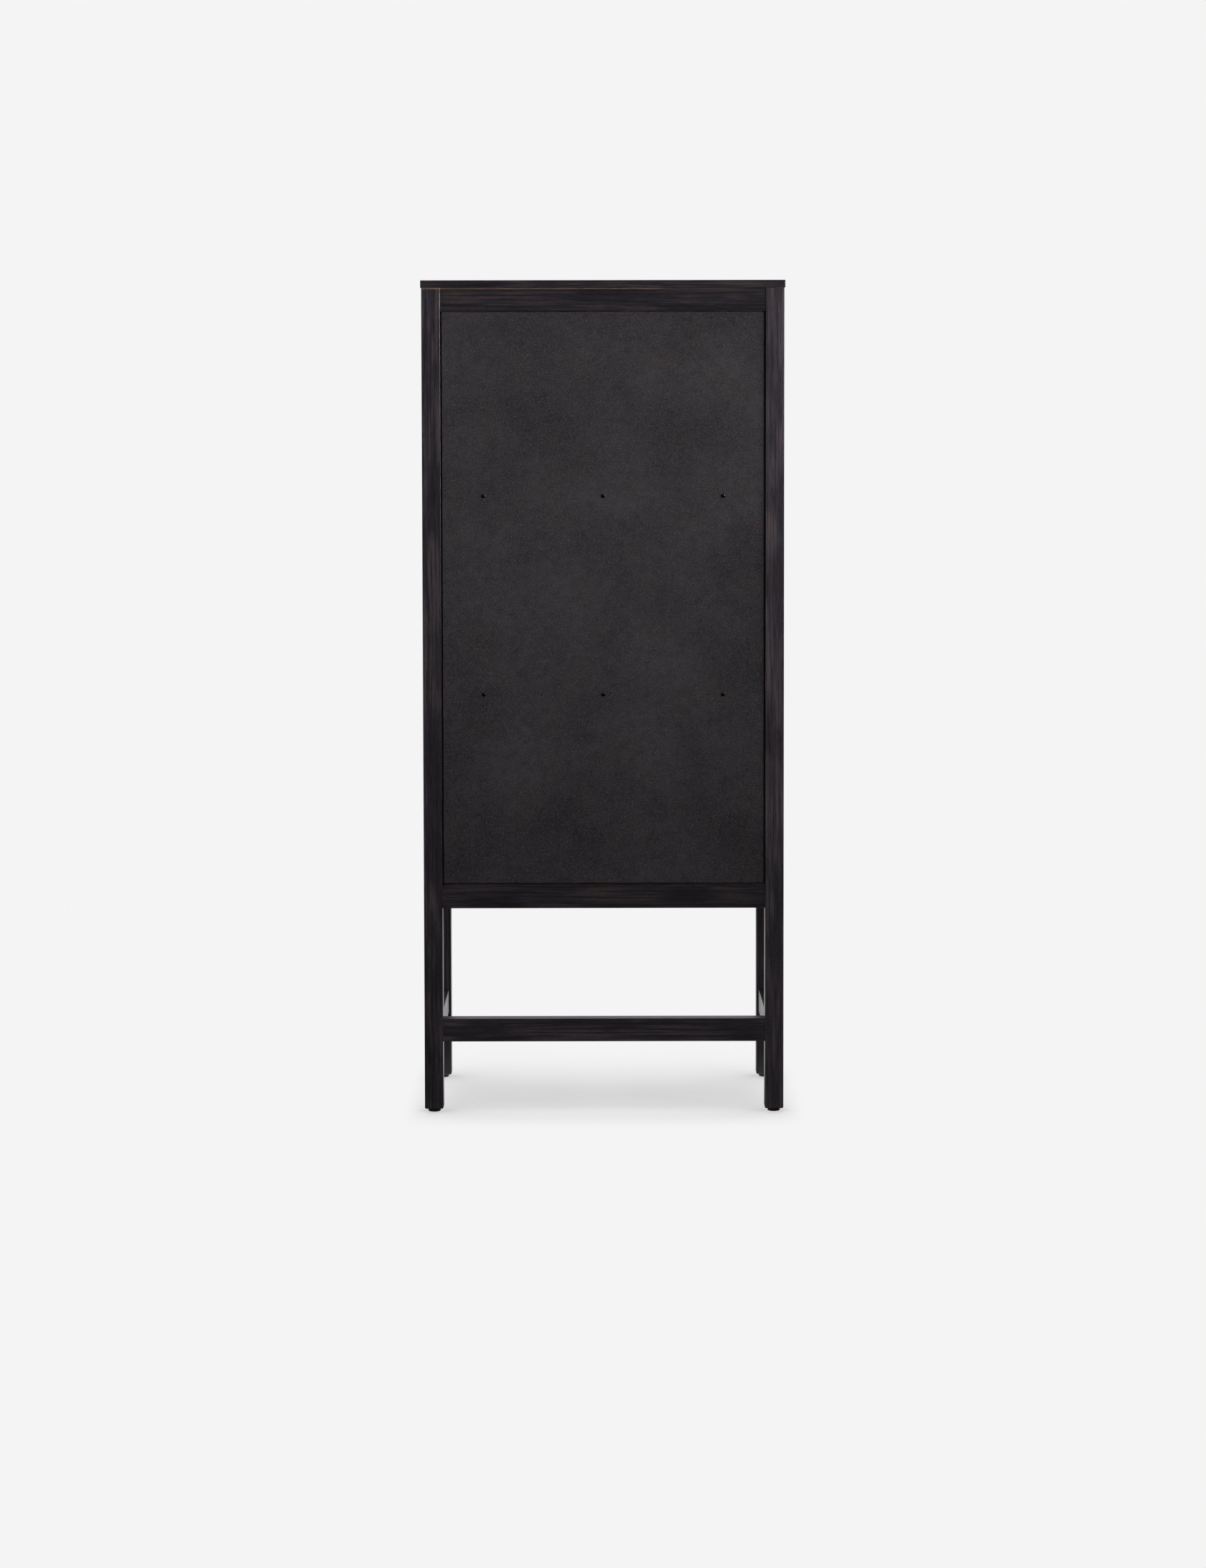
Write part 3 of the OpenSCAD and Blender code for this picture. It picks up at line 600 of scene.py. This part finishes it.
def screw_part(name, head, shank, segments=36):
    """A screw of head radius 1 whose head sits on z = 0, with a cross recess and a point."""
    bm = bmesh.new()
    add_turned(bm, [(0, -shank), (0.12, -shank + 0.5), (0.40, -shank + 1.1), (0.40, -0.35),
                    *head], segments=segments)
    screw = link_mesh(name, bm, MATERIALS["black_screw"])
    top = head[-1][1]
    bm = bmesh.new()
    for along, across in ((0.56, 0.10), (0.10, 0.56)):
        wing = bmesh.ops.create_cube(bm, size=1)["verts"]
        for vert in wing:
            deep = vert.co.z < 0
            taper = 0.45 if deep else 1.0
            vert.co.x *= 2 * along * (taper if along > across else 1)
            vert.co.y *= 2 * across * (taper if across > along else 1)
            vert.co.z = top - 0.42 if deep else top + 0.2
    cut_away(screw, link_mesh("recess", bm, MATERIALS["black_screw"]))
    return screw


PAN_HEAD = screw_part("pan_head", [(0.97, 0), *arc(0, 0, 1, 0.52, 6, 86, 8), (0, 0.52)], 7.6)
FLAT_HEAD = screw_part("flat_head", [(0.5, -0.35), (0.96, 0.0), (0.93, 0.05), (0, 0.06)], 4.0)


def round_pin():
    """A small round-headed brass pin of head radius 1, on z = 0."""
    bm = bmesh.new()
    add_turned(bm, [(0, -5.0), (0.35, -4.0), (0.35, 0), (0.98, 0),
                    *arc(0, 0, 1, 0.62, 6, 84, 6), (0, 0.62)], segments=20)
    return link_mesh("round_pin", bm, MATERIALS["aged_brass"])


ROUND_PIN = round_pin()


def countersink():
    """What is cut out of a hinge leaf for a flat head of radius 1."""
    bm = bmesh.new()
    add_turned(bm, [(0, -0.42), (0.56, -0.42), (1.03, 0.0), (1.03, 0.4), (0, 0.4)], segments=36)
    return link_mesh("countersink", bm, MATERIALS["aged_brass"])


COUNTERSINK = countersink()


# ---------------------------------------------------------------- the pieces

HINGED = {"post_hinge_leaves", "left_door_fittings", "right_door_fittings"}
SCREWED = {"back_panel_screws": Vector((0, 1, 0)), "top_fixing_screws": Vector((0, 0, -1))}
SPECIAL = {"foot_glides", "left_door_knob", "right_door_knob", *SCREWED, *HINGED, *DRAWERS}
SPECIAL |= {f"{drawer}_pull" for drawer in DRAWERS}
REAR_TOP = {"rear_top_rail", "rear_left_post", "rear_right_post"}
pieces = {}

for name in sorted(set(frame["nodes"]) - SPECIAL):
    slot = NODE_SLOT[name]
    material = WORN_WOOD if name in REAR_TOP else MATERIALS[slot]
    pieces[name] = finish_node(name, f"finished_{name}", slot, material)

# Screws in the back panel and under the fixing blocks.
for number, (name, facing) in enumerate(SCREWED.items()):
    bm = clean_copy(name)
    places = []
    for screw in solids(bm):
        low, high = corners(screw)
        middle = (low + high) / 2
        tip = Vector([high[a] if facing[a] > 0 else low[a] if facing[a] < 0 else middle[a]
                      for a in range(3)])
        places.append((tip - facing * 2.6 * MM, facing))
    bm.free()
    screws = repeated(f"cross_{name}", PAN_HEAD, places, 5 * MM,
                      MATERIALS[NODE_SLOT[name]], seed=11 + number)
    finish_piece(screws, NODE_BODY[name], name)


LEAF = 1.2 * MM                      # thickness of a hinge leaf
LEAF_FACES = {                       # where each hinge leaf's open face is, from the middle
    "post_hinge_leaves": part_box("front_right_post")[0].x - LEAF,
    "left_door_fittings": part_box("right_door_stiles")[1].x + LEAF,
    "right_door_fittings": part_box("right_door_stiles")[1].x + LEAF,
}


def finish_hinges(node, seed):
    """Hinge leaves with three countersunk screws in each."""
    bm = clean_copy(node)
    inward = -1 if node == "post_hinge_leaves" else 1
    places = []
    for leaf in solids(bm):
        low, high = corners(leaf)
        if high.z - low.z > 30 * MM:
            side = math.copysign(1, low.x)
            for up in (-20 * MM, 0, 20 * MM):
                place = Vector((side * LEAF_FACES[node], high.y - 10 * MM,
                                (low.z + high.z) / 2 + up))
                places.append((place, Vector((side * inward, 0, 0))))
    ease_edges(bm, EASE["aged_brass"])
    piece = link_mesh(f"drilled_{node}", bm, MATERIALS["aged_brass"])
    cut_away(piece, repeated("holes", COUNTERSINK, places, 2.6 * MM, MATERIALS["aged_brass"],
                             seed=seed))
    finish_piece(piece, NODE_BODY[node], node)
    screws = repeated(f"screws_of_{node}", FLAT_HEAD, places, 2.6 * MM,
                      MATERIALS["aged_brass"], seed=seed)
    finish_piece(screws, NODE_BODY[node])


for number, node in enumerate(sorted(HINGED)):
    finish_hinges(node, 31 + number)


def finish_knobs(node):
    """A knob node with its knob turned finely. Its screw and label frame stay, eased."""
    bm = clean_copy(node)
    knob = min(solids(bm), key=lambda solid: corners(solid)[0].y)
    low, high = corners(knob)
    bmesh.ops.delete(bm, geom=knob, context="VERTS")
    ease_edges(bm, EASE["aged_brass"])
    add_turned(bm, knob_profile((high.x - low.x) / 2, high.y - low.y),
               ((low.x + high.x) / 2, high.y, (low.z + high.z) / 2), (0, -1, 0))
    piece = link_mesh(f"turned_{node}", bm, MATERIALS["aged_brass"])
    return finish_piece(piece, NODE_BODY[node], node)


for side in ("left", "right"):
    finish_knobs(f"{side}_door_knob")


def finish_drawer(drawer, number):
    """A drawer: its stained front, its bare box, its pull, and the card in its label frame."""
    body = NODE_BODY[drawer]
    front_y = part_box(drawer)[0].y
    is_front = lambda low, high: low.y < front_y + 1 * MM
    finish_node(drawer, f"{drawer}_front", "stained_wood", MATERIALS["stained_wood"], is_front)
    finish_node(drawer, f"{drawer}_box", "bare_wood", MATERIALS["bare_wood"],
                lambda low, high: not is_front(low, high))
    pull = f"{drawer}_pull"
    finish_knobs(pull)
    bm = clean_copy(pull)
    rim = max(solids(bm), key=lambda solid: corners(solid)[1].x - corners(solid)[0].x)
    low, high = corners(rim)
    inner = sorted({round(vert.co.x, 6) for vert in rim})
    bm.free()
    rim_width = inner[1] - inner[0]
    bm = bmesh.new()
    bmesh.ops.create_cube(bm, size=1)
    room = rim_width + 0.1 * MM
    card_low = Vector((low.x + room, high.y - 0.5 * MM, low.z + room))
    card_high = Vector((high.x - room, high.y - 0.05 * MM, high.z - room))
    for vert in bm.verts:
        vert.co = Vector([card_low[a] if vert.co[a] < 0 else card_high[a] for a in range(3)])
    ease_edges(bm, 0.08 * MM, segments=2)
    finish_piece(link_mesh(f"{drawer}_card", bm, CARD), body)
    middle_z, reach = (low.z + high.z) / 2, rim_width / 2
    places = [(Vector((x, low.y, middle_z)), Vector((0, -1, 0)))
              for x in (low.x + reach, high.x - reach)]
    pins = repeated(f"{drawer}_label_pins", ROUND_PIN, places, 1.3 * MM,
                    MATERIALS["aged_brass"], seed=100 + number)
    finish_piece(pins, body)


for number, drawer in enumerate(DRAWERS):
    finish_drawer(drawer, number)


def finish_glides():
    """Four moulded glides: a rounded foot, a shallow waist and the peg up into the post."""
    bm = clean_copy("foot_glides")
    glides = [corners(glide) for glide in solids(bm)]
    bm.free()
    bm = bmesh.new()
    for low, high in glides:
        radius, foot = (high.x - low.x) / 2, 8 * MM
        peg = 4 * MM
        profile = [(0, 0), (radius - 2.0 * MM, 0),
                   *arc(radius - 2.0 * MM, 2.0 * MM, 2.0 * MM, 2.0 * MM, -78, 0, 6),
                   *arc(radius - 0.8 * MM, foot - 1.2 * MM, 0.8 * MM, 0.8 * MM, 0, 90, 4),
                   (radius - 0.8 * MM, foot), (peg, foot), (peg, high.z - 1 * MM),
                   (peg - 1 * MM, high.z), (0, high.z)]
        add_turned(bm, profile, ((low.x + high.x) / 2, (low.y + high.y) / 2, 0))
    piece = link_mesh("moulded_foot_glides", bm, NYLON)
    finish_piece(piece, NODE_BODY["foot_glides"], "foot_glides")


finish_glides()

for part in (PAN_HEAD, FLAT_HEAD, ROUND_PIN, COUNTERSINK):
    bpy.data.objects.remove(part)


# ---------------------------------------------------------------- floor and light

def seen_or_lighting(node, seen, room):
    """Plain white where it is looked at, straight or through glass, and the room to all else."""
    straight, through = (node("ShaderNodeLightPath", out=out) for out in (0, 6))
    looked_at = node(MATH, straight, through, operation="MAXIMUM")
    return node("ShaderNodeMixShader", looked_at, room, seen)


def make_floor():
    """A plain white floor, evenly bright, with a soft contact shade painted under what stands on
    it.
    """
    bm = bmesh.new()
    bmesh.ops.create_grid(bm, x_segments=1, y_segments=1, size=80)
    material, node = start_material("white_light_table_floor")
    reach = 0.58                     # how far the painted shade of a thing above the floor carries
    open_sky = node("ShaderNodeAmbientOcclusion", Distance=reach, out=1)
    place = node(COORDINATE, out=OBJECT_PLACE)
    x, y = (node("ShaderNodeSeparateXYZ", place, out=axis) for axis in range(2))
    aside = node(MATH, x, operation="ABSOLUTE")
    # The painted shade is kept under the cabinet: it fades out past its sides and behind it.
    painted_shade_mask = node(MATH, node(MAP_RANGE, aside, 0.40, 0.47, 1.0, 0.0, interpolation_type="SMOOTHSTEP"),
                node(MAP_RANGE, y, REAR_Y + 0.02, REAR_Y + 0.20, 1.0, 0.0,
                     interpolation_type="SMOOTHSTEP"), operation="MULTIPLY")
    # There the floor's glow is dimmed down to 0.62 where little sky is open: a painted shade.
    painted_shade_darkest = node(MAP_RANGE, painted_shade_mask, 0.0, 1.0, WHITE, 0.62)
    level = node(MAP_RANGE, open_sky, 0.55, 0.97, painted_shade_darkest, WHITE)
    # Close beyond the cabinet the floor is bright and shows in its legs; past that it is dim.
    beyond = node(MATH, node(MAP_RANGE, y, -0.4, 0.3, 0.70, 0.04),
                  node(MAP_RANGE, y, -4.0, -2.6, 0.12, 1.0), operation="MULTIPLY")
    node("ShaderNodeOutputMaterial", seen_or_lighting(
        node, node("ShaderNodeEmission", Strength=level),
        node("ShaderNodeEmission", Strength=beyond)))
    link_mesh("floor", bm, material)


def make_world():
    """A white room, bright beyond the cabinet and overhead, and dim behind the camera."""
    world = bpy.data.worlds.new("white_room")
    world.use_nodes = True
    world.node_tree.nodes.clear()
    node = partial(add, world.node_tree)
    way = node(COORDINATE, out=0)
    y, z = (node("ShaderNodeSeparateXYZ", way, out=axis) for axis in (1, 2))
    level = node(MAP_RANGE, y, -0.35, 0.25, 0.45, 0.06)
    level = node(MATH, node(MAP_RANGE, z, 0.2, 0.9, 0.0, 0.4), level, operation="MAXIMUM")
    node("ShaderNodeOutputWorld", seen_or_lighting(
        node, node("ShaderNodeBackground", Color=(1, 1, 1, 1), Strength=WHITE),
        node("ShaderNodeBackground", Color=(0.98, 0.97, 1.0, 1), Strength=level)))
    bpy.context.scene.world = world


def make_softbox(name, place, target, width, height, power, glints=True):
    """A square, soft lamp at a place, turned to a target. Only one that glints is mirrored."""
    data = bpy.data.lights.new(name, "AREA")
    data.shape, data.size, data.size_y, data.energy = "RECTANGLE", width, height, power
    data.spread = math.radians(60)
    lamp = bpy.data.objects.new(name, data)
    lamp.location = place
    lamp.visible_camera = False
    lamp.visible_glossy = glints
    lamp.rotation_euler = (Vector(place) - Vector(target)).to_track_quat("Z", "Y").to_euler()
    bpy.context.scene.collection.objects.link(lamp)


WHITE = 0.9047                       # the floor and the room, a little under full white
make_floor()
make_world()
make_softbox("right_softbox", (-2.7, REAR_Y + 0.95, 2.3), (0, REAR_Y, 1.90), 1.0, 1.6, 12)
for side, aim, power in ((-1, 2.20, 7), (1, 1.40, 16)):
    make_softbox(f"back_softbox_{side}", (side * 2.4, REAR_Y + 4.6, 2.1), (0, REAR_Y, aim),
                 0.9, 1.2, power, glints=False)
make_softbox("front_softbox", (-1.9, -4.8, 2.4), (0, 0, 1.15), 1.4, 1.8, 20, glints=False)
bpy.context.scene.view_settings.view_transform = "Standard"
